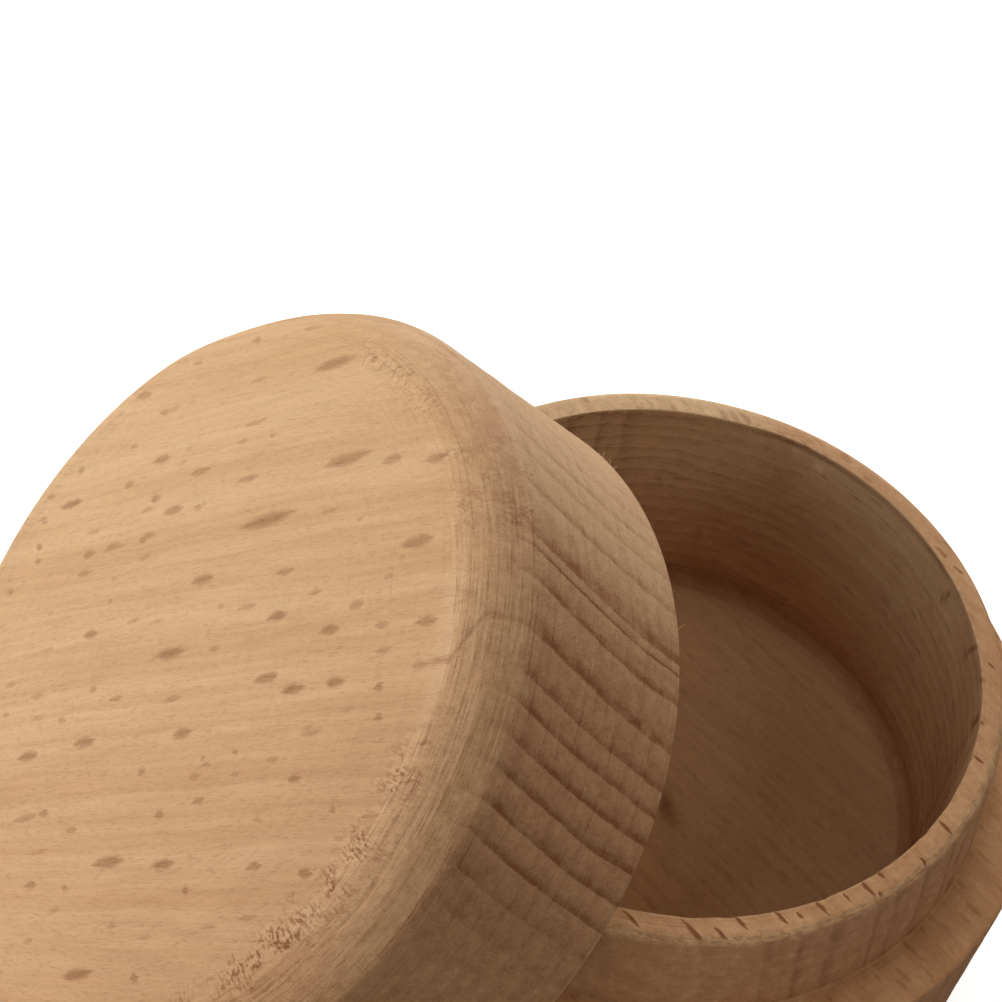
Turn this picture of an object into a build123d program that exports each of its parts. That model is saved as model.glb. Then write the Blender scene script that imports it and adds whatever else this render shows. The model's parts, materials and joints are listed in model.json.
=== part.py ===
"""Turned beech shaving bowl with its loose turned lid.

Millimetres, +Z up. The origin is the centre of the bowl's base, on the table, and the
bowl's axis is the Z axis. The lid is off the bowl: it leans from the -X side, its rim
standing on the table and its open side turned down over the bowl's rim.
"""

import os
from math import cos, radians, sin

from build123d import *

# Bowl: a thick cup whose upper part is stepped in to a spigot that the lid fits over
BODY_RADIUS = 50.5
BOWL_HEIGHT = 51.3
WELL_RADIUS = 39.0
WELL_DEPTH = 37.6
SPIGOT_HEIGHT = 14.7
SPIGOT_FOOT_RADIUS = 43.8
SPIGOT_TOP_RADIUS = 42.3
WELL_CORNER = 2.0
MOUTH_EDGE = 0.4
RIM_EDGE = 1.3
SPIGOT_FOOT_CORNER = 0.4
LEDGE_EDGE = 0.9
BASE_EDGE = 1.5

# Lid: a deep cap with a bevelled shoulder and a flat top
LID_HEIGHT = 34.4
LID_WALL_HEIGHT = 27.9
LID_RIM_RADIUS = 48.3
LID_SHOULDER_RADIUS = 48.7
LID_TOP_RADIUS = 43.6
SHOULDER_BULGE = 0.35
SHOULDER_EDGE = 2.5
LID_RIM_EDGE = 0.3
SOCKET_CLEARANCE = 0.4
SOCKET_DEPTH = 26.0
SOCKET_CORNER = 2.0

# Leaning pose: tilt of the lid's axis from the vertical, and how far the centre of its
# rim stands from the bowl's axis when its inner edge rests on the bowl's rim
LEAN_ANGLE = 44.3
LEAN_OFFSET = 38.4
TABLE_GAP = 0.03


def round_corner(sketch, radius, x, y):
    """Rounds the sketch's corner at (x, y), in the sketch's own plane."""
    fillet(sketch.vertices().sort_by_distance((x, y))[0], radius)


# Bowl, turned about Z. The profile plane's x is the radius and its y is the height.
well_floor = BOWL_HEIGHT - WELL_DEPTH
ledge_height = BOWL_HEIGHT - SPIGOT_HEIGHT

with BuildPart() as bowl:
    with BuildSketch(Plane.XZ) as bowl_profile:
        with BuildLine():
            Polyline(
                (0, 0),
                (BODY_RADIUS, 0),
                (BODY_RADIUS, ledge_height),
                (SPIGOT_FOOT_RADIUS, ledge_height),
                (SPIGOT_TOP_RADIUS, BOWL_HEIGHT),
                (WELL_RADIUS, BOWL_HEIGHT),
                (WELL_RADIUS, well_floor),
                (0, well_floor),
                close=True,
            )
        make_face()
        round_corner(bowl_profile, BASE_EDGE, BODY_RADIUS, 0)
        round_corner(bowl_profile, LEDGE_EDGE, BODY_RADIUS, ledge_height)
        round_corner(bowl_profile, SPIGOT_FOOT_CORNER, SPIGOT_FOOT_RADIUS, ledge_height)
        round_corner(bowl_profile, RIM_EDGE, SPIGOT_TOP_RADIUS, BOWL_HEIGHT)
        round_corner(bowl_profile, MOUTH_EDGE, WELL_RADIUS, BOWL_HEIGHT)
        round_corner(bowl_profile, WELL_CORNER, WELL_RADIUS, well_floor)
    revolve(axis=Axis.Z)

# Lid, turned about its own leaning axis. Its profile plane stands in the XZ plane with
# its origin at the centre of the rim, its x along the rim's uphill radius and its y
# along the lid's axis. The rim's lowest point stands on the table.
lean = radians(LEAN_ANGLE)
edge_lift = LID_RIM_EDGE * (sin(lean) + cos(lean) - 1)
rim_centre_height = LID_RIM_RADIUS * sin(lean) - edge_lift + TABLE_GAP
lid_plane = Plane(
    origin=(-LEAN_OFFSET, 0, rim_centre_height),
    x_dir=(cos(lean), 0, sin(lean)),
    z_dir=(0, -1, 0),
)
lid_axis = Axis(lid_plane.origin, lid_plane.y_dir)
socket_radius = SPIGOT_FOOT_RADIUS + SOCKET_CLEARANCE

with BuildPart() as lid:
    with BuildSketch(lid_plane) as lid_profile:
        with BuildLine():
            shoulder = SagittaArc(
                (LID_SHOULDER_RADIUS, LID_WALL_HEIGHT),
                (LID_TOP_RADIUS, LID_HEIGHT),
                -SHOULDER_BULGE,
            )
            Polyline(
                shoulder @ 1,
                (0, LID_HEIGHT),
                (0, SOCKET_DEPTH),
                (socket_radius, SOCKET_DEPTH),
                (socket_radius, 0),
                (LID_RIM_RADIUS, 0),
                shoulder @ 0,
            )
        make_face()
        round_corner(lid_profile, SHOULDER_EDGE, LID_TOP_RADIUS, LID_HEIGHT)
        round_corner(lid_profile, SHOULDER_EDGE, LID_SHOULDER_RADIUS, LID_WALL_HEIGHT)
        round_corner(lid_profile, SOCKET_CORNER, socket_radius, SOCKET_DEPTH)
        round_corner(lid_profile, LID_RIM_EDGE, socket_radius, 0)
        round_corner(lid_profile, LID_RIM_EDGE, LID_RIM_RADIUS, 0)
    revolve(axis=lid_axis)

os.makedirs("parts", exist_ok=True)
bowl.part.label = "bowl"
export_step(bowl.part, "parts/bowl.step")
lid.part.label = "lid"
export_step(lid.part, "parts/lid.step")
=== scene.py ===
"""Looks of the turned beech shaving bowl and its leaning lid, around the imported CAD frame.

Lengths are in millimetres until a mesh is written, where MM turns them into metres. Both
pieces are turned shells: an outline of radius and height is swept round an axis, and
tool marks, torn edges and the relief of the grain are cut into it.
"""

import json
from math import acos, atan2, ceil, cos, pi, radians, sin, tan

import bpy
import numpy as np
from mathutils import Matrix, Vector


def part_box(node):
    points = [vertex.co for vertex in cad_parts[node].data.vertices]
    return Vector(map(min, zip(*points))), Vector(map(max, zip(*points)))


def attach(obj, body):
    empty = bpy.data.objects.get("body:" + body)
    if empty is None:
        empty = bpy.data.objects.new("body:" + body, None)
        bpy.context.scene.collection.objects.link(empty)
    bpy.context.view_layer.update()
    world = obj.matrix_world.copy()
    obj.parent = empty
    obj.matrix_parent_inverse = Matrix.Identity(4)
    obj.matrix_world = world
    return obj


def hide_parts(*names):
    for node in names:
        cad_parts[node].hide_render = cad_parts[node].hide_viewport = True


MM = 0.001
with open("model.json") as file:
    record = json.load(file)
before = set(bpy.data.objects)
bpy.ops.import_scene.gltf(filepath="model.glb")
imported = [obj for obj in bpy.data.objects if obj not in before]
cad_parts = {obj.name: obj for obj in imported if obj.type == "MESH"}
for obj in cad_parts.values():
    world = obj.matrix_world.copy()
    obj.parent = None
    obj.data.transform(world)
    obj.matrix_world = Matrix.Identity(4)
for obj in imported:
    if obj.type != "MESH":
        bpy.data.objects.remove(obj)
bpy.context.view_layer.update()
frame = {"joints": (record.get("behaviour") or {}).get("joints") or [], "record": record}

# ---------------------------------------------------------------- sizes from the frame

bowl_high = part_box("bowl")[1]
lift_axis = Vector(frame["joints"][0]["axis"])
mounts = {mount["name"]: mount for mount in frame["record"]["mounts"]}

BODY_RADIUS = bowl_high.x / MM
BOWL_HEIGHT = bowl_high.z / MM
WELL_RADIUS = mounts["soap_well"]["dims"]["r_mm"]
LEAN = atan2(-lift_axis.x, lift_axis.z)

# Sizes of the solids that the frame doesn't carry
WELL_DEPTH = 37.6
SPIGOT_HEIGHT = 14.7
SPIGOT_FOOT_RADIUS = 43.8
SPIGOT_TOP_RADIUS = 42.3
LEDGE_HEIGHT = BOWL_HEIGHT - SPIGOT_HEIGHT
FLOOR_HEIGHT = BOWL_HEIGHT - WELL_DEPTH

LID_HEIGHT = 34.4
LID_WALL_HEIGHT = 27.9
LID_RIM_RADIUS = 48.3
LID_SHOULDER_RADIUS = 48.7
LID_TOP_RADIUS = 43.6
LID_RIM_EDGE = 0.3
SOCKET_RADIUS = 44.2
SOCKET_DEPTH = 26.0
LEAN_OFFSET = 38.4
TABLE_GAP = 0.03

# The lid as it looks: a fuller bevel than the solid's, and a top that isn't quite flat
BEVEL_BULGE = 0.85
TOP_DOME = 0.25

# The lid's own frame: origin at the centre of its rim, z along its leaning axis
edge_lift = LID_RIM_EDGE * (sin(LEAN) + cos(LEAN) - 1)
lid_centre = np.array([-LEAN_OFFSET, 0, LID_RIM_RADIUS * sin(LEAN) - edge_lift + TABLE_GAP])
lid_axes = np.array([
    [cos(LEAN), 0, sin(LEAN)],
    [0, 1, 0],
    [-sin(LEAN), 0, cos(LEAN)],
])

# ---------------------------------------------------------------- noise on arrays


def lattice(cells, seed):
    """A repeatable random value from 0 to 1 for each whole-numbered cell."""
    x, y, z = (cells[:, i].astype(np.uint64) for i in range(3))
    n = x * np.uint64(73856093) ^ y * np.uint64(19349663) ^ z * np.uint64(83492791)
    n = (n ^ np.uint64(seed * 2654435761 % 2**32)) & np.uint64(0xFFFFFFFF)
    n = ((n ^ (n >> np.uint64(13))) * np.uint64(1274126177)) & np.uint64(0xFFFFFFFF)
    return ((n ^ (n >> np.uint64(16))) & np.uint64(0xFFFF)).astype(float) / 65535


def noise(points, seed=0):
    """Smooth value noise from -1 to 1 at each point, with cells of unit size."""
    cell = np.floor(points).astype(np.int64)
    part = points - cell
    part = part * part * (3 - 2 * part)
    total = np.zeros(len(points))
    for corner in np.ndindex(2, 2, 2):
        weight = np.prod(np.where(corner, part, 1 - part), axis=1)
        total += weight * lattice(cell + np.array(corner), seed)
    return total * 2 - 1


def smooth_step(low, high, value):
    """0 below low, 1 above high, smooth between; low may be the larger."""
    t = np.clip((value - low) / (high - low), 0, 1)
    return t * t * (3 - 2 * t)


def hump(value, middle, width):
    """A bell curve: 1 at the middle, and 0.37 at one width from it."""
    return np.exp(-((value - middle) / width) ** 2)


# ---------------------------------------------------------------- turned shells

# Sides of the finest rings, the shortest side worth having, and the step along a rounding
FINEST = 896
SHORTEST_SIDE = 0.17
ARC_STEP = 0.35
FEWEST_SIDES = 28


def unit(v):
    """The vector's direction, with a length of 1."""
    return v / np.linalg.norm(v)


def outline(corners):
    """Rings (radius, height, sides) along a profile. A corner is (r, h, round, step, sides).

    The round is the corner's rounding radius; step and sides hold for the run up to it.
    """
    rings = []
    start = np.array(corners[0][:2], float)
    for i in range(1, len(corners)):
        corner = np.array(corners[i][:2], float)
        rounding, step, sides = corners[i][2:]
        if rounding and i + 1 < len(corners):
            back = unit(np.array(corners[i - 1][:2], float) - corner)
            ahead = unit(np.array(corners[i + 1][:2], float) - corner)
            half = acos(np.clip(back @ ahead, -1, 1)) / 2
            reach = rounding / tan(half)
            centre = corner + unit(back + ahead) * rounding / sin(half)
            end, resume = corner + back * reach, corner + ahead * reach
        else:
            end = resume = corner
        count = max(1, ceil(np.linalg.norm(end - start) / step))
        for k in range(count):
            rings.append((*(start + (end - start) * k / count), sides))
        if rounding and i + 1 < len(corners):
            first, last = end - centre, resume - centre
            a0 = atan2(first[1], first[0])
            turn = atan2(last[1], last[0]) - a0
            turn = (turn + pi) % (2 * pi) - pi
            count = max(4, ceil(abs(turn) * rounding / ARC_STEP))
            for k in range(count):
                a = a0 + turn * k / count
                rings.append((*(centre + rounding * np.array([cos(a), sin(a)])), sides))
        start = resume
    rings.append((*start, sides))
    return rings


def sides_at(radius, finest):
    """How many sides a ring has: fewer towards the axis, by halves."""
    sides = finest
    while sides > FEWEST_SIDES and 2 * pi * radius / sides < SHORTEST_SIDE:
        sides //= 2
    return sides if radius > 1e-6 else 1


class Turned:
    """A turned shell in its own frame, with the axis as z."""

    def __init__(self, corners):
        rings = outline(corners)
        r, h = (np.array([ring[i] for ring in rings]) for i in (0, 1))
        sides = [sides_at(ring[0], ring[2]) for ring in rings]
        run = np.concatenate([[0], np.cumsum(np.hypot(np.diff(r), np.diff(h)))])
        dr, dh = np.gradient(r, run), np.gradient(h, run)
        length = np.hypot(dr, dh)
        self.starts = np.concatenate([[0], np.cumsum(sides)])
        self.sides = sides
        index = np.repeat(np.arange(len(rings)), sides)
        self.angle = np.concatenate([np.arange(n) * 2 * pi / n for n in sides])
        self.run = run[index]
        self.radius = r[index]
        around = np.stack([np.cos(self.angle), np.sin(self.angle)], axis=1)
        self.points = np.column_stack([around * r[index][:, None], h[index]])
        out = (-dh / length)[index]
        self.normals = np.column_stack([around * out[:, None], (dr / length)[index]])
        self.faces = []
        for i in range(len(rings) - 1):
            self.bridge(self.starts[i], sides[i], self.starts[i + 1], sides[i + 1])

    def bridge(self, a, n, b, m):
        """Faces from the ring of n points at index a to the ring of m points at b."""
        for j in range(max(n, m)):
            j_a, k_a = (j * n // max(n, m)) % n, ((j + 1) * n // max(n, m)) % n
            j_b, k_b = (j * m // max(n, m)) % m, ((j + 1) * m // max(n, m)) % m
            face = [a + j_a, b + j_b, b + k_b, a + k_a]
            self.faces.append(list(dict.fromkeys(face)))

    def displace(self, depth):
        """Moves each point along its normal by depth, in millimetres."""
        self.points = self.points + self.normals * depth[:, None]


def mesh_object(name, points, faces, attributes, material):
    """A smooth mesh object from points in millimetres in the row frame."""
    mesh = bpy.data.meshes.new(name)
    mesh.from_pydata((points * MM).tolist(), [], faces)
    for label, values in attributes.items():
        kind = "FLOAT_VECTOR" if values.ndim == 2 else "FLOAT"
        layer = mesh.attributes.new(label, kind, "POINT")
        field = "vector" if values.ndim == 2 else "value"
        layer.data.foreach_set(field, values.astype(np.float32).ravel())
    mesh.polygons.foreach_set("use_smooth", np.ones(len(mesh.polygons), bool))
    mesh.materials.append(material)
    piece = bpy.data.objects.new(name, mesh)
    bpy.context.scene.collection.objects.link(piece)
    return piece


# ---------------------------------------------------------------- shader graph helper


class Graph:
    """Builds a material's node tree; sockets and plain numbers mix freely as inputs."""

    def __init__(self, name):
        self.material = bpy.data.materials.new(name)
        self.material.use_nodes = True
        self.nodes = self.material.node_tree.nodes
        self.links = self.material.node_tree.links
        self.shader = self.nodes["Principled BSDF"]

    def set(self, socket, value):
        """Links a socket's value, or sets a plain one."""
        if isinstance(value, bpy.types.NodeSocket):
            self.links.new(value, socket)
        else:
            socket.default_value = value

    def share(self, name):
        """A single value that the mesh carries at each point."""
        node = self.nodes.new("ShaderNodeAttribute")
        node.attribute_name = name
        return node.outputs["Fac"]

    def place(self, name):
        """The three parts of a vector that the mesh carries at each point."""
        node = self.nodes.new("ShaderNodeAttribute")
        node.attribute_name = name
        return tuple(self.split(node.outputs["Vector"]))

    def math(self, operation, a, b=0.0, c=0.0, clamp=False):
        """One step of arithmetic on up to three values."""
        node = self.nodes.new("ShaderNodeMath")
        node.operation = operation
        node.use_clamp = clamp
        for socket, value in zip(node.inputs, (a, b, c)):
            self.set(socket, value)
        return node.outputs[0]

    def add(self, *values):
        """The sum of the values."""
        total = values[0]
        for value in values[1:]:
            total = self.math("ADD", total, value)
        return total

    def times(self, *values):
        """The product of the values."""
        total = values[0]
        for value in values[1:]:
            total = self.math("MULTIPLY", total, value)
        return total

    def step(self, value, low, high, smooth=True):
        """0 below low, 1 above high, smooth between; low may be the larger."""
        node = self.nodes.new("ShaderNodeMapRange")
        node.interpolation_type = "SMOOTHSTEP" if smooth else "LINEAR"
        self.set(node.inputs["Value"], value)
        self.set(node.inputs["From Min"], low)
        self.set(node.inputs["From Max"], high)
        return node.outputs["Result"]

    def split(self, vector):
        """A vector's three parts, by number."""
        node = self.nodes.new("ShaderNodeSeparateXYZ")
        self.set(node.inputs[0], vector)
        return node.outputs

    def join(self, x, y, z=0.0):
        """A vector from its parts."""
        node = self.nodes.new("ShaderNodeCombineXYZ")
        for socket, value in zip(node.inputs, (x, y, z)):
            self.set(socket, value)
        return node.outputs[0]

    def noise(self, place, scale, detail=2.0, roughness=0.5):
        """Noise at a place (x, y, z), with scale cells to each millimetre on each axis."""
        scaled = [self.times(value, cells) for value, cells in zip(place, scale)]
        node = self.nodes.new("ShaderNodeTexNoise")
        self.set(node.inputs["Vector"], self.join(*scaled))
        node.inputs["Scale"].default_value = 1.0
        node.inputs["Detail"].default_value = detail
        node.inputs["Roughness"].default_value = roughness
        return node.outputs["Fac"]

    def cells(self, x, y):
        """Nearest random point to (x, y): its own place and its own random colour."""
        node = self.nodes.new("ShaderNodeTexVoronoi")
        node.voronoi_dimensions = "2D"
        self.set(node.inputs["Vector"], self.join(x, y))
        node.inputs["Scale"].default_value = 1.0
        node.inputs["Randomness"].default_value = 0.85
        return self.split(node.outputs["Position"]), self.split(node.outputs["Color"])

    def blend(self, factor, a, b):
        """Colour a where the factor is 0, colour b where it is 1 or more."""
        node = self.nodes.new("ShaderNodeMix")
        node.data_type = "RGBA"
        node.clamp_factor = True
        self.set(node.inputs["Factor"], factor)
        self.set(node.inputs[6], a)
        self.set(node.inputs[7], b)
        return node.outputs[2]


def rgb(red, green, blue):
    """A colour given as screen values from 0 to 255, as the linear RGBA Blender uses."""
    screen = [c / 255 for c in (red, green, blue)]
    linear = [c / 12.92 if c < 0.04045 else ((c + 0.055) / 1.055) ** 2.4 for c in screen]
    return (*linear, 1)


# ---------------------------------------------------------------- beech

# Cells per millimetre of each pattern: along the fibres, across them, through the rings
DRIFT = (0.018, 0.05, 0.05)
TONE = (0.012, 0.24, 0.24)
STREAKS = (0.06, 1.1, 1.1)
PORES = (0.8, 6.0, 6.0)
SPECKS = (3.0, 3.6, 3.6)
MOTTLE = (0.5, 0.55, 0.42)
RING_WAVE = (0.04, 0.12, 0.3)
LINE_EDGE = (0.5, 1.3, 0.5)
LINE_WAVER = (0.3, 0.4, 0.25)
FLECK_WOBBLE = (0.9, 2.2, 1.0)

# Cells of the tool's patterns: per millimetre along the outline, then per radius round it
DASHES = (1.3, 13.0, 13.0)
TOOL_MARKS = (2.6, 3.0, 3.0)
BREAKS = (0.5, 16.0, 16.0)


def spindle(g, dx, dy, half_long, half_wide, shear, edge):
    """1 inside a pointed spindle round (0, 0) with its length along dx, 0 outside."""
    slanted = g.math("MULTIPLY_ADD", dy, shear, dx)
    u = g.math("POWER", g.math("ABSOLUTE", g.math("DIVIDE", slanted, half_long)), 2.2)
    v = g.math("ABSOLUTE", g.math("DIVIDE", dy, half_wide))
    return g.step(g.add(u, v), 1.0 + edge, 1.0 - edge)


def scattered_flecks(g, along, across, kind):
    """Spindles of random size, one or none in each cell of a loose grid."""
    cell_long, cell_wide = kind["length"] * 1.9, kind["width"] * 3.6
    x = g.math("DIVIDE", along, cell_long)
    y = g.math("DIVIDE", across, cell_wide)
    place, chance = g.cells(x, y)
    dx = g.times(g.math("SUBTRACT", x, place[0]), cell_long)
    dy = g.times(g.math("SUBTRACT", y, place[1]), cell_wide)
    size = g.math("MULTIPLY_ADD", chance[1], 0.8, 0.3)
    half_long = g.times(size, kind["length"] / 2)
    half_wide = g.times(g.math("MULTIPLY_ADD", chance[2], 0.6, 0.6), kind["width"] / 2)
    shape = spindle(g, dx, dy, half_long, half_wide, kind["shear"], 0.55)
    share = kind["share"]
    tone = g.math("MULTIPLY_ADD", chance[2], 0.5, 0.5)
    return g.times(shape, tone, g.step(chance[0], share + 0.02, share - 0.02))


def placed_flecks(g, along, across, places, turn, shear, narrow):
    """The largest flecks, each with its own middle and length (x, y, length)."""
    total = 0.0
    c, s = cos(turn), sin(turn)
    for x, y, length in places:
        dx = g.math("SUBTRACT", along, x * c + y * s)
        dy = g.math("SUBTRACT", across, y * c - x * s)
        wide = narrow + 0.045 * length
        total = g.math("MAXIMUM", total, spindle(g, dx, dy, length / 2, wide, shear, 0.7))
    return total


def ray_flecks(g, look, along, across):
    """Brown flecks of the rays where they are cut nearly flat."""
    wobble = g.noise((along, across, 3.0), FLECK_WOBBLE)
    wobble = g.math("SUBTRACT", wobble, 0.5)
    turn = radians(look["fleck_turn"])
    c, s = cos(turn), sin(turn)
    long = g.add(g.times(along, c), g.times(across, s), g.times(wobble, 1.6))
    wide = g.add(g.times(along, -s), g.times(across, c), g.times(wobble, 0.45))
    large = scattered_flecks(g, long, wide, look["large_fleck"])
    small = scattered_flecks(g, g.add(long, 31.0), g.add(wide, 17.0), look["small_fleck"])
    fleck = g.math("MAXIMUM", large, g.times(small, 0.8))
    own = placed_flecks(
        g, long, wide, look["placed"], radians(look["fibre"]) + turn,
        look["large_fleck"]["shear"], look["narrow"],
    )
    clear = g.math("SUBTRACT", 1.0, g.share("near_placed"))
    return g.math("MAXIMUM", g.times(fleck, clear), own)


def ring_lines(g, look, grain, end):
    """Dark lines between bands of growth: slow darkening, a line, then light again.

    The mesh counts the bands in "band", which passes a whole number at every line.
    Returns the shade of bands and lines, and how deep the lines are cut.
    """
    rough = g.noise(grain, LINE_EDGE, 4.0, 0.6)
    band = g.math("MULTIPLY_ADD", g.math("SUBTRACT", rough, 0.5), 0.16, g.share("band"))
    chance = g.nodes.new("ShaderNodeTexWhiteNoise")
    chance.noise_dimensions = "1D"
    g.set(chance.inputs["W"], g.math("FLOOR", band))
    own = g.math("MULTIPLY_ADD", chance.outputs["Value"], 0.6, 0.6)
    part = g.math("SUBTRACT", 1.0, g.math("FRACT", band))
    slope = g.times(g.math("POWER", part, 1.5), look["band_slope"])
    line = g.times(g.step(part, 0.62, 0.90), g.step(part, 1.0, 0.94), look["band_line"])
    waver = g.noise(grain, LINE_WAVER, 3.0)
    line = g.times(line, g.step(waver, 0.25, 0.6), own)
    on_side = look["band_on_side"]
    strength = g.math("MULTIPLY_ADD", g.step(end, 0.7, 0.94), 1 - on_side, on_side)
    strength = g.times(strength, g.share("lined"))
    return g.times(g.add(slope, line), strength), g.times(line, strength)


def fibre_patterns(g, look, grain, end, inside_and_painted_light):
    """Patterns of the wood itself, each from 0 to 1, and how strong the mottle is."""
    along, across, outward = grain
    drift = g.math("SUBTRACT", g.noise(grain, DRIFT), 0.5)
    t = g.math("MULTIPLY_ADD", drift, look["drift"], across)
    r = g.math("MULTIPLY_ADD", drift, -look["drift"], outward)
    drifted = (along, t, r)
    wave = g.noise(drifted, RING_WAVE, 3.0)
    ring_place = g.math("MULTIPLY_ADD", wave, 1.3, g.times(r, 1 / look["ring_gap"]))
    mottled = g.math("MULTIPLY_ADD", end, look["mottle_end"], look["mottle"])
    return {
        "tone": g.noise(drifted, TONE, 4.0, 0.6),
        "streak": g.noise(drifted, STREAKS, 5.0, 0.65),
        "pores": g.noise(drifted, PORES),
        "specks": g.noise(drifted, SPECKS, 4.0, 0.65),
        "ring": g.math("POWER", g.math("FRACT", ring_place), 2.0),
        "mottle": g.noise(drifted, MOTTLE, 4.0, 0.62),
        "mottled": g.times(mottled, g.math("MULTIPLY_ADD", inside_and_painted_light, -0.7, 1.0)),
    }


def tool_patterns(g, look, scored, torn):
    """Patterns that the tool left round the piece, each from 0 to 1."""
    turn = g.place("turn")
    fray = (look["fray_run"], look["fray"], look["fray"])
    marks = g.noise(turn, TOOL_MARKS, 4.0, 0.65)
    broken = g.step(g.noise(turn, BREAKS), 0.38, 0.62)
    tufts = g.noise(turn, fray, 3.0, 0.6)
    return {
        "dash": g.step(g.noise(turn, DASHES, 1.0), 0.64, 0.72),
        "marks": marks,
        "groove": g.step(marks, 0.44, 0.34),
        "scratch": g.times(g.step(marks, 0.50, 0.40), broken, scored),
        "hatch": g.times(g.step(marks, 0.54, 0.64), scored, 0.5),
        "tufts": tufts,
        "tear": g.times(torn, g.step(tufts, 0.47, 0.60)),
        "fresh": g.times(torn, g.step(tufts, 0.6, 0.42), 0.45),
    }


def beech_colour(g, look, wood, tool, shade, end, inside_and_painted_light):
    """The block's colour: its tone, its end grain, pale worn wood and painted light, and the
    darkening on top, painted shade among it.
    """
    colour = g.blend(g.step(wood["tone"], 0.32, 0.68), look["light"], look["warm"])
    end_share = g.times(g.step(end, 0.62, 0.98), look["end_share"])
    colour = g.blend(end_share, colour, look["end_colour"])
    # Greyer in the bowl's well, and greyer painted light on the lid's lit wall
    colour = g.blend(g.times(inside_and_painted_light, 0.16), colour, look["inside_and_painted_light_colour"])
    flakes = g.times(g.step(wood["mottle"], 0.44, 0.28), wood["mottled"], 2.2)
    # Lighter towards the fresh colour: torn fibres, pale wear, flakes and hatching, and on the lid
    # the painted light that its worn share carries
    fresh = g.add(tool["fresh"], g.share("worn"), flakes, tool["hatch"])
    colour = g.blend(fresh, colour, look["fresh"])
    return g.blend(shade, colour, look["dark"])


def beech_relief(g, look, wood, tool, cuts, end, torn):
    """The fine relief as a bump: pores, specks, rings, lines, tool marks and torn wood."""
    band_cut, fleck = cuts
    height = g.add(
        g.times(wood["pores"], -0.25),
        g.times(wood["streak"], -0.35),
        g.times(wood["specks"], g.math("MULTIPLY_ADD", end, 1.1, 0.15)),
        g.times(wood["ring"], g.math("MULTIPLY_ADD", end, -0.4, -0.1)),
        g.times(band_cut, -0.6),
        g.times(fleck, -0.12),
        g.times(tool["marks"], look["mark_relief"]),
        g.times(tool["scratch"], -0.4),
        g.times(torn, tool["tufts"], 3.0),
    )
    bump = g.nodes.new("ShaderNodeBump")
    bump.inputs["Strength"].default_value = 1.0
    bump.inputs["Distance"].default_value = look["relief"] * MM
    g.set(bump.inputs["Height"], height)
    return bump.outputs["Normal"]


def beech(name, look):
    """Bare turned beech. look holds colours, spacings and strengths for one block of wood.

    The mesh carries the wood's own coordinates in millimetres in "grain" (along the
    fibres, across them, outwards through the rings) and the place along the turned outline
    and round it in "turn". The rest are single values: the cut's share of end grain
    ("end"), how flat the face lies to the rings ("flat"), the count of growth bands
    ("band") and how far their lines show ("lined"), deep tool marks ("scored"), torn wood
    ("torn"), pale rubbed wood and, on the lid, painted light ("worn"), dark stains and
    marks with painted shade ("stain_and_painted_shade"), how far rings and dashes show
    ("ringed"), greyer wood of the well and the painted light of the lid's lit wall
    ("inside_and_painted_light"), and where only placed flecks may lie ("near_placed").
    """
    g = Graph(name)
    grain = g.place("grain")
    end, inside_and_painted_light = g.share("end"), g.share("inside_and_painted_light")
    torn, ringed = g.share("torn"), g.share("ringed")
    wood = fibre_patterns(g, look, grain, end, inside_and_painted_light)
    tool = tool_patterns(g, look, g.share("scored"), torn)
    band, band_cut = ring_lines(g, look, grain, end)
    fleck = g.times(ray_flecks(g, look, grain[0], grain[1]), g.share("flat"))

    def by_end(key):
        """A strength that grows from look[key] to look[key] + look[key + "_end"] on end grain."""
        return g.math("MULTIPLY_ADD", end, look[key + "_end"], look[key])

    shade = g.add(
        g.times(g.step(wood["streak"], 0.35, 0.75, False), look["streak"]),
        g.times(g.step(wood["pores"], 0.50, 0.72), look["pore"]),
        g.times(g.step(wood["specks"], 0.48, 0.8), by_end("speck")),
        g.times(wood["ring"], ringed, by_end("ring")),
        g.times(tool["dash"], ringed, look["dash"]),
        # Dark stains and marks, with painted shade where shade falls
        g.share("stain_and_painted_shade"),
        band,
        g.times(fleck, look["fleck"]),
        g.times(tool["groove"], by_end("groove")),
        g.times(tool["scratch"], 0.11),
        # Painted shade: the lid grows darker towards one side across its fibres
        g.times(g.step(grain[1], 40.0, -45.0), look["painted_side_shade"]),
        g.times(tool["tear"], look["tear"]),
        g.times(g.step(wood["mottle"], 0.40, 0.66), wood["mottled"]),
    )
    colour = beech_colour(g, look, wood, tool, shade, end, inside_and_painted_light)
    rough = g.math("MULTIPLY_ADD", shade, 0.25, look["roughness"], clamp=True)
    g.set(g.shader.inputs["Base Color"], colour)
    g.set(g.shader.inputs["Roughness"], rough)
    g.shader.inputs["Specular IOR Level"].default_value = 0.25
    normal = beech_relief(g, look, wood, tool, (band_cut, fleck), end, torn)
    g.set(g.shader.inputs["Normal"], normal)
    return g.material


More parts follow.
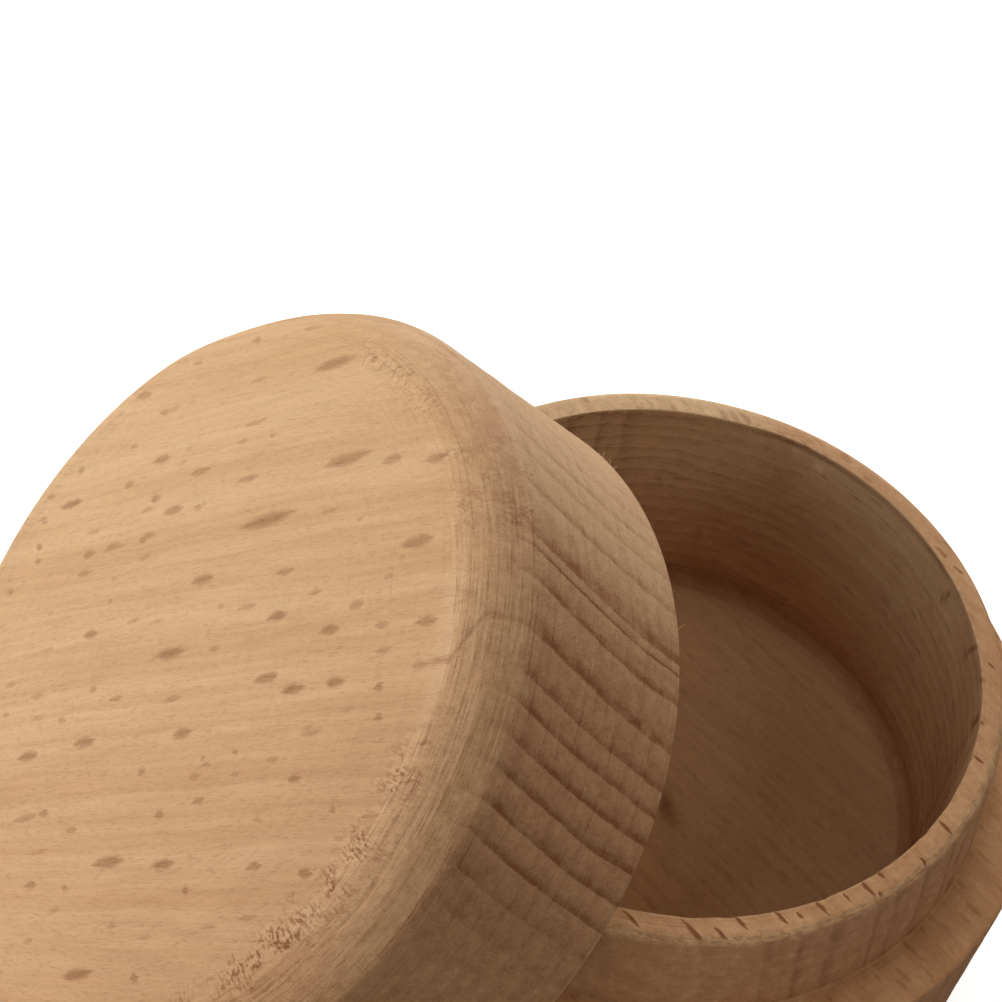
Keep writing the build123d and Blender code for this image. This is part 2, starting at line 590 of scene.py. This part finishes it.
LID_LOOK = {
    "fibre": -24.5,
    "light": rgb(220, 180, 135),
    "warm": rgb(212, 168, 122),
    "dark": rgb(140, 92, 56),
    "end_colour": rgb(209, 165, 126),
    "end_share": 0.9,
    "fresh": rgb(228, 192, 148),
    # Greyer colour of the bowl's well, and of the painted light on the lid's wall
    "inside_and_painted_light_colour": rgb(205, 185, 150),
    # Painted shade: how much darker the lid grows towards one side across its fibres
    "painted_side_shade": 0.16,
    "drift": 4.0,
    "streak": 0.20,
    "pore": 0.20,
    "speck": 0.08,
    "speck_end": 0.26,
    "mottle": 0.0,
    "mottle_end": 0.16,
    "ring_gap": 3.1,
    "ring": 0.04,
    "ring_end": 0.06,
    "dash": 0.0,
    "band_slope": 0.32,
    "band_line": 0.38,
    "band_on_side": 0.10,
    "large_fleck": {"length": 4.2, "width": 1.05, "share": 0.22, "shear": 0.5},
    "small_fleck": {"length": 2.8, "width": 0.85, "share": 0.36, "shear": 0.4},
    "fleck_turn": 6.5,
    "fleck": 0.46,
    "narrow": 0.42,
    "placed": (
        (17, 10, 8.5), (30, 10.5, 7), (30.5, 25.5, 6.5), (-0.5, 1, 5.5), (-13.5, -20.5, 5.5),
        (-20, -31.5, 5), (37, -6, 4.5), (-15.5, 34, 4.5), (-26, 0.5, 4), (6, 8, 4),
        (-16, -3, 4), (13.5, -10.5, 3.8), (17, -14, 3.4), (-5, -25, 3.5), (2.5, 21, 3.6),
        (41.5, 3, 3.2), (23, -16.5, 3), (-13.5, 11.5, 3), (1.5, 30, 3.3), (0, -10.5, 3),
        (36, -16, 3),
    ),
    "groove": 0.08,
    "groove_end": 0.13,
    "mark_relief": 0.8,
    "tear": 0.65,
    "fray": 110.0,
    "fray_run": 1.3,
    "roughness": 0.62,
    "relief": 0.10,
}

# Dark slashes across the front of the bowl's rim: azimuth, radius and length of each
RIM_SLASHES = (
    (-111.5, 40.3, 2.4), (-101.5, 40.9, 3.6), (-97, 41.2, 2.3), (-93.5, 39.9, 2.2),
    (-86.7, 39.9, 2.2), (-83.5, 40.2, 1.0), (-79.3, 40.1, 2.2), (-70.3, 40.1, 2.4),
    (-69, 41.5, 1.2), (-66.8, 39.4, 1.3), (-58.9, 41.6, 2.0), (-51, 40.4, 2.5),
    (-35, 39.9, 1.5), (-27, 39.3, 0.9), (-14, 40.5, 1.2), (-74.5, 40.0, 1.2),
)


def slash_places():
    """The slashes' middles as x and y, with the length of each."""
    return tuple(
        (radius * cos(radians(azimuth)), radius * sin(radians(azimuth)), length)
        for azimuth, radius, length in RIM_SLASHES
    )


BOWL_LOOK = dict(
    LID_LOOK,
    fibre=-60.0,
    light=rgb(214, 168, 122),
    warm=rgb(202, 153, 108),
    end_colour=rgb(200, 152, 114),
    painted_side_shade=0.0,
    mottle=0.13,
    mottle_end=0.06,
    ring_gap=2.6,
    ring=0.06,
    ring_end=0.30,
    dash=0.22,
    band_slope=0.12,
    band_line=0.26,
    large_fleck={"length": 4.4, "width": 0.62, "share": 0.85, "shear": 0.3},
    small_fleck={"length": 2.4, "width": 0.5, "share": 0.55, "shear": 0.2},
    fleck_turn=0.0,
    fleck=1.15,
    narrow=0.12,
    placed=slash_places(),
    tear=0.42,
    fray=36.0,
    fray_run=2.2,
)

# Where the dark lines cross the lid's wall at its rim, in millimetres across the fibres
LID_LINES = (
    -47.5, -44, -41.2, -37.5, -34, -31, -27.8, -24.7, -21.8, -18.5, -15.2, -11.8, -8.9, -4.5,
    1.0, 4.6, 5.9, 12.4, 17, 20.5, 24, 27.5, 32, 34, 38.5, 42, 47,
)

# The lines lean as they rise: the slope at the middle, and what it gains per millimetre
LINE_LEAN = 0.18
LEAN_GROWTH = 0.0021

# ---------------------------------------------------------------- shared surface work


def grain_axes(fibre_azimuth):
    """Rows along the fibres, across them, and up through the rings."""
    a = radians(fibre_azimuth)
    along = np.array([cos(a), sin(a), 0.0])
    up = np.array([0.0, 0.0, 1.0])
    return np.array([along, np.cross(up, along), up])


def surface_attributes(shell, axes, lines, rise):
    """What the material reads from the mesh. It is taken before the piece is set in place."""
    grain = shell.points @ axes.T
    crossing = grain[:, 1] - rise + 0.3 * noise(shell.points / 9.0, 21)
    attributes = {
        "grain": grain,
        "end": np.abs(shell.normals @ axes[0]),
        "flat": smooth_step(0.8, 0.98, np.abs(shell.normals @ axes[2])),
        "turn": np.column_stack([shell.run, np.cos(shell.angle), np.sin(shell.angle)]),
        "band": np.interp(crossing, lines, np.arange(len(lines))),
        "ringed": np.ones(len(grain)),
        "lined": np.ones(len(grain)),
    }
    for label in ("torn", "scored", "worn", "stain_and_painted_shade", "near_placed", "inside_and_painted_light"):
        attributes[label] = np.zeros(len(grain))
    return attributes


def around(shell, middle, half_width, blur):
    """1 within half_width degrees of the middle going round the axis, 0 beyond the blur."""
    off = (np.degrees(shell.angle) - middle + 180) % 360 - 180
    return smooth_step(half_width + blur, half_width, np.abs(off))


def radius_height(shell):
    """Each point's distance from the axis, and its height along it."""
    return np.hypot(shell.points[:, 0], shell.points[:, 1]), shell.points[:, 2]


def tool_marks(shell, pitch, depth, seed):
    """Shallow turned grooves, cut inwards, that come and go round the piece."""
    per_radius = 1.3
    round_points = np.column_stack([
        shell.run / pitch,
        np.cos(shell.angle) * per_radius,
        np.sin(shell.angle) * per_radius,
    ])
    return depth * (noise(round_points, seed) - 1)


def place_piece(piece, body, node):
    """Puts a shown piece on its body, in place of a solid."""
    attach(piece, body)
    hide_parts(node)


# ---------------------------------------------------------------- lid

# Arcs of the lid's wear, of its painted shade and painted light, and of its swell: middle, half
# width and blur in degrees
SCORED_ARC = (-50, 42, 24)
SPECKLED_ARC = (-3, 6, 3)
SHADED_ARC = (-80, 30, 25)
LIT_BEVEL_ARC = (-45, 22, 18)
SWELL_ARC = (115, 30, 25)

# Torn places on the lid's top edge: the arc, the torn ring's radius and width, how badly
LID_TEARS = (
    ((-63, 13, 14), 42.2, 2.6, 0.8),
    ((-88, 8, 8), 41.8, 1.8, 0.7),
    ((24, 9, 6), 43.0, 2.2, 0.5),
)
TEAR_FROM_HEIGHT = 30.0

# The brown line over the lid's top edge: distance past the edge, then azimuth in degrees
GOUGE_BENDS = ((-2.4, -30.5), (-0.1, -30.1), (1.2, -26.5), (2.8, -22.9), (8.0, -23.0))
GOUGE_HALF_WIDTH = 0.45

# The lid's top edge stands out on one side: how far along the outline, and how much
SWELL_RUN = 44.6
SWELL_WIDTH = 2.6
SWELL = 0.9

# The outside of the lid's outline ends this far past the top's edge
OUTSIDE_RUN = 40.0

# Depths of the pits in torn wood, of scored lines and of tool marks, and the marks' pitch
PIT_DEPTH = 0.10
SCORE_DEPTH = 0.03
LID_MARK_DEPTH = 0.05
LID_MARK_PITCH = 1.9


def line_rise(across, height):
    """How far the lid's lines have climbed across the fibres at a height above its rim."""
    curve = height * (0.6 + 0.4 * height / LID_WALL_HEIGHT)
    return (LINE_LEAN + LEAN_GROWTH * across) * curve


def bevel_share(r, h):
    """1 on the lid's bevel, 0 on its top and wall."""
    from_wall = smooth_step(LID_WALL_HEIGHT - 2.5, LID_WALL_HEIGHT + 1.5, h)
    return from_wall * smooth_step(40.5, 43, r)


def gouge(shell, r):
    """A fine brown line that runs over the lid's top edge, as a share from 0 to 1."""
    past_edge = shell.run - LID_TOP_RADIUS
    line = np.interp(past_edge, *zip(*GOUGE_BENDS))
    off = radians(1) * r * (np.degrees(shell.angle) - 360 - line)
    fade = smooth_step(-2.6, -2.0, past_edge) * smooth_step(9.0, 3.0, past_edge)
    return fade * hump(off, 0, GOUGE_HALF_WIDTH)


def lid_torn(shell, r, h, bevel):
    """Torn end grain along the lid's top edge, a speckled patch, and fuzz down the wall."""
    torn = 0.14 * smooth_step(LID_WALL_HEIGHT + 2, LID_WALL_HEIGHT - 1, h)
    for arc, radius, width, strength in LID_TEARS:
        place = around(shell, *arc) * (h > TEAR_FROM_HEIGHT)
        torn = torn + strength * place * hump(r, radius, width)
    torn = torn + 0.35 * around(shell, *SPECKLED_ARC) * bevel
    broken = smooth_step(-0.7, 0.5, noise(shell.points / 1.6, 5))
    return np.clip(torn * broken, 0, 1)


def lines_shown(shown_at, bevel):
    """How far the growth lines show: less on the long grain, past the middle and up high."""
    shown = 0.4 + 0.6 * smooth_step(-28.5, -24.5, shown_at)
    shown = shown * (1 - 0.5 * smooth_step(9, 14, shown_at))
    return shown * (1 - 0.75 * bevel)


def placed_room(shell, h):
    """1 close to the placed flecks on the lid's top, where no scattered ones may lie."""
    near = np.zeros(len(h))
    for x, y, length in LID_LOOK["placed"]:
        gap = np.hypot(shell.points[:, 0] - x, shell.points[:, 1] - y)
        near = np.maximum(near, smooth_step(length / 2 + 3.0, length / 2 + 1.5, gap))
    return near * (h > LID_HEIGHT - 3)


def lid_wear(shell, attributes):
    """Fills in the lid's torn, scored and lined places, its stains and painted shade, and its
    painted light: a highlight on the rim's edge, and a lighter wall and bevel front.
    """
    r, h = radius_height(shell)
    outside = (shell.run < LID_TOP_RADIUS + OUTSIDE_RUN) & (h > 1)
    on_wall = (h < LID_WALL_HEIGHT + 0.5) * outside
    bevel = bevel_share(r, h)
    attributes["torn"] = lid_torn(shell, r, h, bevel) * outside
    attributes["scored"] = bevel * (0.35 + 0.65 * around(shell, *SCORED_ARC)) * outside
    shown_at = attributes["grain"][:, 1] - 0.15 * h
    attributes["lined"] = lines_shown(shown_at, bevel)
    long_grain = smooth_step(-23, -29, shown_at) * on_wall
    # Painted shade on the front of the lid's top, near its edge
    painted_front_shade = around(shell, *SHADED_ARC) * smooth_step(22, 38, r)
    painted_front_shade = painted_front_shade * (h > LID_HEIGHT - 2)
    # Darker on the long-grain wall: partly its browner wood, partly painted shade of the wall's
    # lower side. The gouge is a real mark; the top's front darkening is painted shade
    attributes["stain_and_painted_shade"] = 0.16 * long_grain + 0.34 * gouge(shell, r) + 0.10 * painted_front_shade
    # Painted light: the side of the wall that faces the lamps is drawn lighter, greyer and less
    # mottled
    painted_lit_wall = smooth_step(7, 15, shown_at) * on_wall
    attributes["inside_and_painted_light"] = painted_lit_wall
    # Painted highlight along the arris of the lid's rim
    painted_rim_highlight = hump(h, 0, 0.45) * (r > 46)
    # Painted light on the front of the lid's bevel
    painted_lit_bevel = bevel * around(shell, *LIT_BEVEL_ARC)
    # On the lid the worn share carries only painted light: the rim's highlight, the lit wall and
    # the lit bevel front
    attributes["worn"] = 0.5 * (painted_rim_highlight + painted_lit_wall + painted_lit_bevel)
    attributes["near_placed"] = placed_room(shell, h)


def lid_depth(shell, attributes):
    """How far the lid's surface stands out: pits and scores inwards, the swell outwards."""
    pits = PIT_DEPTH * attributes["torn"] * (1 + noise(shell.points / 0.55, 8))
    scores = SCORE_DEPTH * attributes["scored"] * (1 + noise(shell.points / 0.8, 9))
    swell = SWELL * around(shell, *SWELL_ARC) * hump(shell.run, SWELL_RUN, SWELL_WIDTH)
    return swell - pits - scores + tool_marks(shell, LID_MARK_PITCH, LID_MARK_DEPTH, 3)


def lid_shell():
    """The lid's outline from the middle of its top, over its wall and into its socket."""
    top_corner = np.array([LID_TOP_RADIUS, LID_HEIGHT])
    shoulder = np.array([LID_SHOULDER_RADIUS, LID_WALL_HEIGHT])
    drop, spread = LID_HEIGHT - LID_WALL_HEIGHT, LID_SHOULDER_RADIUS - LID_TOP_RADIUS
    bulge = (top_corner + shoulder) / 2 + BEVEL_BULGE * unit(np.array([drop, spread]))
    return Turned([
        (0, LID_HEIGHT + TOP_DOME, 0, 1, FINEST),
        (33, LID_HEIGHT + TOP_DOME / 2, 60.0, 1.0, FINEST),
        (LID_TOP_RADIUS, LID_HEIGHT - TOP_DOME * 1.6, 4.0, 1.0, FINEST),
        (*bulge, 9.0, 0.5, FINEST),
        (*shoulder, 2.0, 0.5, FINEST),
        (LID_RIM_RADIUS, 0, LID_RIM_EDGE, 0.8, FINEST),
        (SOCKET_RADIUS, 0, LID_RIM_EDGE, 0.6, FINEST),
        (SOCKET_RADIUS, SOCKET_DEPTH, 2.0, 1.6, FINEST // 2),
        (0, SOCKET_DEPTH, 0, 2.0, FINEST // 4),
    ])


def lid_piece(material):
    """The turned lid, made upright in its own frame and then set leaning in place."""
    shell = lid_shell()
    axes = grain_axes(LID_LOOK["fibre"])
    rise = line_rise((shell.points @ axes.T)[:, 1], shell.points[:, 2])
    attributes = surface_attributes(shell, axes, LID_LINES, rise)
    lid_wear(shell, attributes)
    shell.displace(lid_depth(shell, attributes))
    points = lid_centre + shell.points @ lid_axes
    lid = mesh_object("lid_turned", points, shell.faces, attributes, material)
    place_piece(lid, "lid_body", "lid")


# Hairs of wood on the lid's rim: azimuth in degrees, length, and how far each droops
HAIRS = (
    (20.0, 1.1, 0.5), (21.2, 1.5, -0.2), (22.0, 0.9, 0.3), (23.4, 1.2, 0.1), (24.5, 0.8, 0.4),
    (-11.5, 1.5, 0.3), (-12.6, 0.7, -0.3), (33.0, 0.8, 0.2), (-24.0, 0.7, 0.2),
)
HAIR_RADIUS = 0.07
HAIR_ROOT = 0.35
HAIR_SIDES = 6
HAIR_RINGS = 6


def splinter(root, direction, length, sag):
    """A fine tapered hair of wood from root, drooping by sag: points and faces."""
    heading = unit(np.array(direction, float))
    side = unit(np.cross(heading, (0.3, 0.2, 0.9)))
    over = np.cross(heading, side)
    points, faces = [], []
    for i in range(HAIR_RINGS):
        along = i / (HAIR_RINGS - 1)
        centre = root + heading * (along * length - HAIR_ROOT) + over * sag * along ** 2
        radius = HAIR_RADIUS * (1 - 0.8 * along)
        for j in range(HAIR_SIDES):
            a = 2 * pi * j / HAIR_SIDES
            points.append(centre + radius * (side * cos(a) + over * sin(a)))
            if i:
                here, last = i * HAIR_SIDES, (i - 1) * HAIR_SIDES
                k = (j + 1) % HAIR_SIDES
                faces.append([last + j, last + k, here + k, here + j])
    faces.append(list(range(HAIR_SIDES))[::-1])
    faces.append([(HAIR_RINGS - 1) * HAIR_SIDES + j for j in range(HAIR_SIDES)])
    return np.array(points), faces


def lid_splinters(material):
    """Hairs of torn wood along the lid's rim."""
    points, faces = [], []
    for angle, length, sag in HAIRS:
        a = radians(angle)
        root = np.array([LID_RIM_RADIUS * cos(a), LID_RIM_RADIUS * sin(a), HAIR_ROOT])
        lean = 0.8 * np.array([-sin(a), cos(a), 0])
        heading = np.array([cos(a), sin(a), -0.25 - sag]) + lean
        part, part_faces = splinter(root, heading, length, 0.3 * sag)
        start = sum(len(p) for p in points)
        points.append(part)
        faces += [[start + i for i in face] for face in part_faces]
    local = np.concatenate(points)
    axes = grain_axes(LID_LOOK["fibre"])
    attributes = {"grain": local @ axes.T, "worn": np.full(len(local), 0.8)}
    hairs = mesh_object("lid_splinters", lid_centre + local @ lid_axes, faces, attributes, material)
    place_piece(hairs, "lid_body", "lid")


# ---------------------------------------------------------------- bowl

# The bowl's growth lines: where the first lies across the fibres, the mean gap, its swing
FIRST_LINE = -54
LINE_GAP = 4.5
GAP_SWING = 2.0
LINE_COUNT = 25

# Arcs of the bowl's wear and of the painted shadow under its mouth's edge: middle, half width and
# blur in degrees
FRONT_ARC = (-80, 45, 20)
FLECKED_ARC = (-62, 62, 30)
PLACED_ARC = (-60, 62, 3)
SOFT_CORNER_ARC = (0, 60, 30)
PALE_WALL_ARC = (98, 30, 18)
PALE_EDGE_ARC = (98, 32, 12)
TOOTH_ARC = (90, 1.6, 1.0)
SHADOWED_MOUTH_ARC = (32, 22, 6)
BURR_ARC = (50, 12, 4)
LIP_ARC = (84, 20, 14)

# Chipped stretches of the mouth's edge: the arc, and how badly it is chipped
CHIPPED = (((52, 11, 3), 0.5), ((93, 4, 2), 0.7), ((-70, 70, 20), 0.35))

# Pale flakes below the mouth: the arc, the depth below the edge, and the height
MOUTH_FLAKES = (
    ((44, 0.7, 0.8), 2.6, 0.9),
    ((49.6, 0.4, 0.8), 1.5, 1.0),
    ((57.5, 1.3, 0.8), 2.4, 0.6),
)

# Dark dashes down the well's wall: azimuth, slant in degrees per millimetre, top, bottom
# and half width
WALL_DASHES = (
    (-9.7, 0.6, 0.0, 6.0, 0.32),
    (-26.0, 0.7, 1.0, 5.5, 0.5),
    (-17.5, 0.4, 0.0, 2.0, 0.35),
    (4.0, 0.5, 2.0, 6.0, 0.35),
)

# A dark spot on the well's floor: its middle, and its half widths
SPOT = (3.8, -3.0)
SPOT_HALF = (1.2, 3.4)

# Depths of chips, of the rim's worn outer corner at the right and the front, of tool marks,
# and how far the mouth's lip is drawn in
CHIP_DEPTH = 0.32
CORNER_WEAR = 0.22
FRONT_WEAR = 0.10
BOWL_MARK_DEPTH = 0.04
BOWL_MARK_PITCH = 2.3
LIP = 0.45


def mouth_flakes(shell, h):
    """Pale wood by the mouth: a lighter stretch of wall, a tooth through it, and flakes."""
    below = BOWL_HEIGHT - h
    stretch = around(shell, *PALE_WALL_ARC) * smooth_step(26, 8, below)
    tooth = around(shell, *TOOTH_ARC) * (below < 2.6)
    flakes = 0.6 * around(shell, *PALE_EDGE_ARC) * hump(below, 1.0, 1.0)
    for arc, depth, tall in MOUTH_FLAKES:
        flakes = flakes + around(shell, *arc) * hump(below, depth, tall)
    return 0.95 * stretch + 0.6 * tooth + 0.8 * flakes


def wall_dashes(shell, h):
    """Dark dashes that run down the well's wall from near its mouth."""
    below = BOWL_HEIGHT - h
    total = 0.0
    for angle, slant, top, bottom, half_width in WALL_DASHES:
        turn = np.degrees(shell.angle) - angle - slant * below
        off = radians(1) * WELL_RADIUS * ((turn + 180) % 360 - 180)
        span = smooth_step(top - 0.3, top + 0.3, below) * smooth_step(bottom, bottom - 2.0, below)
        total = total + span * hump(off, 0, half_width)
    return total


def fleck_share(shell, h):
    """How strong the flecks are: full on the front rim, weaker below, faint on the floor."""
    on_floor, below_rim = 0.12, 0.3
    rim = below_rim + (1 - below_rim) * around(shell, *FLECKED_ARC)
    share = np.where(h < BOWL_HEIGHT - 3, below_rim, rim)
    return np.where(h < FLOOR_HEIGHT + 3, on_floor, share)


def bowl_stains_and_painted_shade(shell, r, h):
    """Dark places: painted shadow under the mouth's edge, painted shade in the well's corner and
    where the spigot meets the ledge, a spot on the floor and wall dashes.
    """
    well_wall = np.abs(r - WELL_RADIUS) < 0.3
    # Painted shadow under the overhanging edge of the mouth
    painted_undercut_shadow = around(shell, *SHADOWED_MOUTH_ARC) * hump(h, BOWL_HEIGHT - 0.7, 0.4)
    # Painted shade in the corner where the well's wall meets its floor
    corner = smooth_step(37.2, 37.9, r) * smooth_step(FLOOR_HEIGHT + 7, FLOOR_HEIGHT + 1.5, h)
    corner = corner * (h > FLOOR_HEIGHT - 0.5) * (r < WELL_RADIUS + 0.5)
    # Painted shade in the crease where the spigot meets the ledge
    painted_foot_shade = hump(r, SPIGOT_FOOT_RADIUS, 1.3) * hump(h, LEDGE_HEIGHT, 1.6)
    spot = hump(shell.points[:, 0], SPOT[0], SPOT_HALF[0])
    spot = spot * hump(shell.points[:, 1], SPOT[1], SPOT_HALF[1])
    spot = spot * (np.abs(h - FLOOR_HEIGHT) < 1)
    on_wall = 0.5 * painted_undercut_shadow + 0.8 * wall_dashes(shell, h)
    return on_wall * well_wall + 0.4 * corner + 0.25 * painted_foot_shade + 0.7 * spot


def bowl_pale(shell, r, h):
    """Pale places: a burr and flakes by the mouth, and the well's floor."""
    well_wall = np.abs(r - WELL_RADIUS) < 0.3
    burr = around(shell, *BURR_ARC) * hump(h, BOWL_HEIGHT - 1.9, 0.7)
    floor_share = 0.3 * (r < 37) * (h > FLOOR_HEIGHT - 1)
    pale = 0.35 * burr * well_wall + mouth_flakes(shell, h) * (r < 42) + floor_share
    return np.clip(pale, 0, 1)


def chipped(shell):
    """How badly the mouth's edge is chipped, going round it."""
    return sum(strength * around(shell, *arc) for arc, strength in CHIPPED)


def rim_edges(r, h):
    """1 at the mouth's edge and 1 at the rim's outer edge, as two shares."""
    mouth = hump(r, WELL_RADIUS, 0.9) * hump(h, BOWL_HEIGHT, 0.9)
    outer = hump(r, SPIGOT_TOP_RADIUS, 1.1) * hump(h, BOWL_HEIGHT, 0.9)
    return mouth, outer


def bowl_wear(shell, attributes):
    """Fills in the bowl's torn, worn and ringed places, its stains and painted shade, and thins its
    flecks.
    """
    r, h = radius_height(shell)
    mouth, outer = rim_edges(r, h)
    front = around(shell, *FRONT_ARC)
    attributes["flat"] = attributes["flat"] * fleck_share(shell, h)
    in_well = (r < WELL_RADIUS + 0.5) & (h > FLOOR_HEIGHT + 2)
    attributes["ringed"] = np.where(in_well, 1.0, 0.25)
    attributes["inside_and_painted_light"] = 1.0 * (r < WELL_RADIUS + 0.3) * (h > FLOOR_HEIGHT - 1)
    attributes["stain_and_painted_shade"] = bowl_stains_and_painted_shade(shell, r, h)
    attributes["worn"] = np.clip(bowl_pale(shell, r, h) + 0.5 * outer * front, 0, 1)
    attributes["torn"] = np.clip(0.8 * mouth * chipped(shell) + 0.8 * outer * front, 0, 1)
    on_rim = (h > BOWL_HEIGHT - 2) & (r > 38)
    attributes["near_placed"] = around(shell, *PLACED_ARC) * on_rim


def bowl_depth(shell):
    """How far chips, the worn outer corner and tool marks go into the bowl's surface."""
    r, h = radius_height(shell)
    mouth, outer = rim_edges(r, h)
    chip_noise = noise(np.column_stack([shell.angle * 24, h * 0.4, r * 0.3]), 31)
    chips = mouth * chipped(shell) * smooth_step(0.0, 0.6, chip_noise)
    softened = outer * around(shell, *SOFT_CORNER_ARC)
    worn = outer * around(shell, *FRONT_ARC) * (1 + noise(shell.points / 0.8, 33))
    cuts = CHIP_DEPTH * chips + CORNER_WEAR * softened + FRONT_WEAR * worn
    return tool_marks(shell, BOWL_MARK_PITCH, BOWL_MARK_DEPTH, 11) - cuts


def mouth_lip(shell):
    """Draws the mouth's edge in a little at the back, where it isn't quite round."""
    r, h = radius_height(shell)
    lip = LIP * around(shell, *LIP_ARC) * hump(h, BOWL_HEIGHT, 2.2)
    lip = lip * (r < WELL_RADIUS + 0.5)
    shell.points[:, :2] *= (1 - lip / np.maximum(r, 1))[:, None]


def bowl_shell():
    """The bowl's outline from its floor, up the well, over the rim and down to its base."""
    return Turned([
        (0, FLOOR_HEIGHT, 0, 1, FINEST // 2),
        (WELL_RADIUS, FLOOR_HEIGHT, 2.0, 1.2, FINEST // 2),
        (WELL_RADIUS, BOWL_HEIGHT - 3, 0, 1.6, FINEST // 2),
        (WELL_RADIUS, BOWL_HEIGHT, 0.2, 0.4, FINEST),
        (SPIGOT_TOP_RADIUS, BOWL_HEIGHT, 1.3, 0.3, FINEST),
        (SPIGOT_FOOT_RADIUS, LEDGE_HEIGHT, 0.4, 1.0, FINEST),
        (BODY_RADIUS, LEDGE_HEIGHT, 0.9, 0.6, FINEST),
        (BODY_RADIUS, 0, 1.5, 1.3, FINEST),
        (0, 0, 0, 2.5, FINEST // 4),
    ])


def bowl_piece(material):
    """The turned bowl, upright on the table."""
    shell = bowl_shell()
    gaps = LINE_GAP + GAP_SWING * np.sin(np.arange(LINE_COUNT) * 2.3)
    lines = np.cumsum(np.concatenate([[FIRST_LINE], gaps]))
    attributes = surface_attributes(shell, grain_axes(BOWL_LOOK["fibre"]), lines, 0.0)
    bowl_wear(shell, attributes)
    shell.displace(bowl_depth(shell))
    mouth_lip(shell)
    bowl = mesh_object("bowl_turned", shell.points, shell.faces, attributes, material)
    place_piece(bowl, "bowl_body", "bowl")


lid_wood = beech("lid_beech", LID_LOOK)
lid_piece(lid_wood)
lid_splinters(lid_wood)
bowl_piece(beech("bowl_beech", BOWL_LOOK))

# ---------------------------------------------------------------- floor, light, camera

TABLE_HALF = 1500.0

# What the lamps are aimed at: the middle of the lid and the bowl together
LIT_PLACE = Vector((-20, 0, 35)) * MM

# Distance and side of the lamps in the far and the near ring
FAR = (700, 380)
NEAR = (330, 180)


def floor():
    """A pale table top, drawn white to the camera where no shadow falls on it."""
    g = Graph("table")
    path = g.nodes.new("ShaderNodeLightPath")
    seen = path.outputs["Is Camera Ray"]
    shade = g.blend(seen, rgb(150, 146, 140), rgb(244, 244, 244))
    g.set(g.shader.inputs["Base Color"], shade)
    g.shader.inputs["Roughness"].default_value = 0.9
    g.shader.inputs["Specular IOR Level"].default_value = 0.0
    g.shader.inputs["Emission Color"].default_value = (1, 1, 1, 1)
    place = g.split(g.nodes.new("ShaderNodeNewGeometry").outputs["Position"])
    away = g.math("SQRT", g.add(g.times(place[0], place[0]), g.times(place[1], place[1])))
    glow = g.math("MULTIPLY_ADD", g.step(away, 0.12, 0.40), 0.5, 0.68)
    g.set(g.shader.inputs["Emission Strength"], g.times(seen, glow))
    side = TABLE_HALF * MM
    mesh = bpy.data.meshes.new("table")
    corners = [(-side, -side, 0), (side, -side, 0), (side, side, 0), (-side, side, 0)]
    mesh.from_pydata(corners, [], [(0, 1, 2, 3)])
    mesh.materials.append(g.material)
    table = bpy.data.objects.new("table", mesh)
    bpy.context.scene.collection.objects.link(table)


def surroundings():
    """White behind the object, and a weak soft light from all round it."""
    world = bpy.data.worlds.new("studio")
    bpy.context.scene.world = world
    world.use_nodes = True
    nodes, links = world.node_tree.nodes, world.node_tree.links
    path = nodes.new("ShaderNodeLightPath")
    strength = nodes.new("ShaderNodeMapRange")
    links.new(path.outputs["Is Camera Ray"], strength.inputs["Value"])
    strength.inputs["To Min"].default_value = 0.01
    strength.inputs["To Max"].default_value = 1.2
    links.new(strength.outputs["Result"], nodes["Background"].inputs["Strength"])
    nodes["Background"].inputs["Color"].default_value = (1, 1, 1, 1)


def soft_box(name, azimuth, elevation, ring, power, colour):
    """A square lamp aimed at the object. Azimuth 0 is towards +X, and 90 towards +Y."""
    distance, side = ring
    lamp = bpy.data.lights.new(name, "AREA")
    lamp.shape = "SQUARE"
    lamp.size = side * MM
    lamp.energy = power
    lamp.color = colour
    a, e = radians(azimuth), radians(elevation)
    place = Vector((cos(a) * cos(e), sin(a) * cos(e), sin(e))) * distance * MM
    light = bpy.data.objects.new(name, lamp)
    light.location = LIT_PLACE + place
    light.rotation_euler = (-place).to_track_quat("-Z", "Y").to_euler()
    bpy.context.scene.collection.objects.link(light)


def camera():
    """The camera looks down at the bowl's rim from in front and a little to the left."""
    azimuth, elevation, roll = radians(-16.94), radians(50.27), radians(7.67)
    focal, sensor = 69.6, 36.0
    distance = 244.9
    aim = Vector((-20.0, 17.3, BOWL_HEIGHT + 9.0)) * MM
    back = Vector((
        sin(azimuth) * cos(elevation),
        -cos(azimuth) * cos(elevation),
        sin(elevation),
    ))
    data = bpy.data.cameras.new("camera")
    data.sensor_width = sensor
    data.lens = focal
    data.clip_start = 10 * MM
    view = bpy.data.objects.new("camera", data)
    turn = (-back).to_track_quat("-Z", "Y").to_matrix() @ Matrix.Rotation(roll, 3, "Z")
    view.matrix_world = Matrix.Translation(aim + back * distance * MM) @ turn.to_4x4()
    bpy.context.scene.collection.objects.link(view)
    bpy.context.scene.camera = view


floor()
surroundings()
soft_box("back", 70, 14, FAR, 3.0, (1.0, 0.9, 0.8))
soft_box("back_right", 45, 14, FAR, 0.9, (0.55, 0.82, 1.0))
soft_box("back_right_high", 45, 42, FAR, 0.6, (1.0, 0.86, 0.68))
soft_box("back_left", 150, 20, NEAR, 0.42, (0.6, 0.86, 1.0))
soft_box("left", 180, 14, FAR, 2.9, (1.0, 0.82, 0.71))
soft_box("left_high", 180, 42, FAR, 0.42, (0.85, 0.98, 1.0))
soft_box("left_front", 225, 14, FAR, 0.42, (1.0, 0.91, 0.88))
soft_box("top", 135, 70, NEAR, 0.17, (1.0, 0.89, 0.84))
soft_box("front_right", 315, 42, FAR, 1.1, (1.0, 0.88, 0.77))
soft_box("front", 270, 14, FAR, 0.30, (0.9, 0.95, 1.0))
camera()
bpy.context.scene.view_settings.view_transform = "Standard"
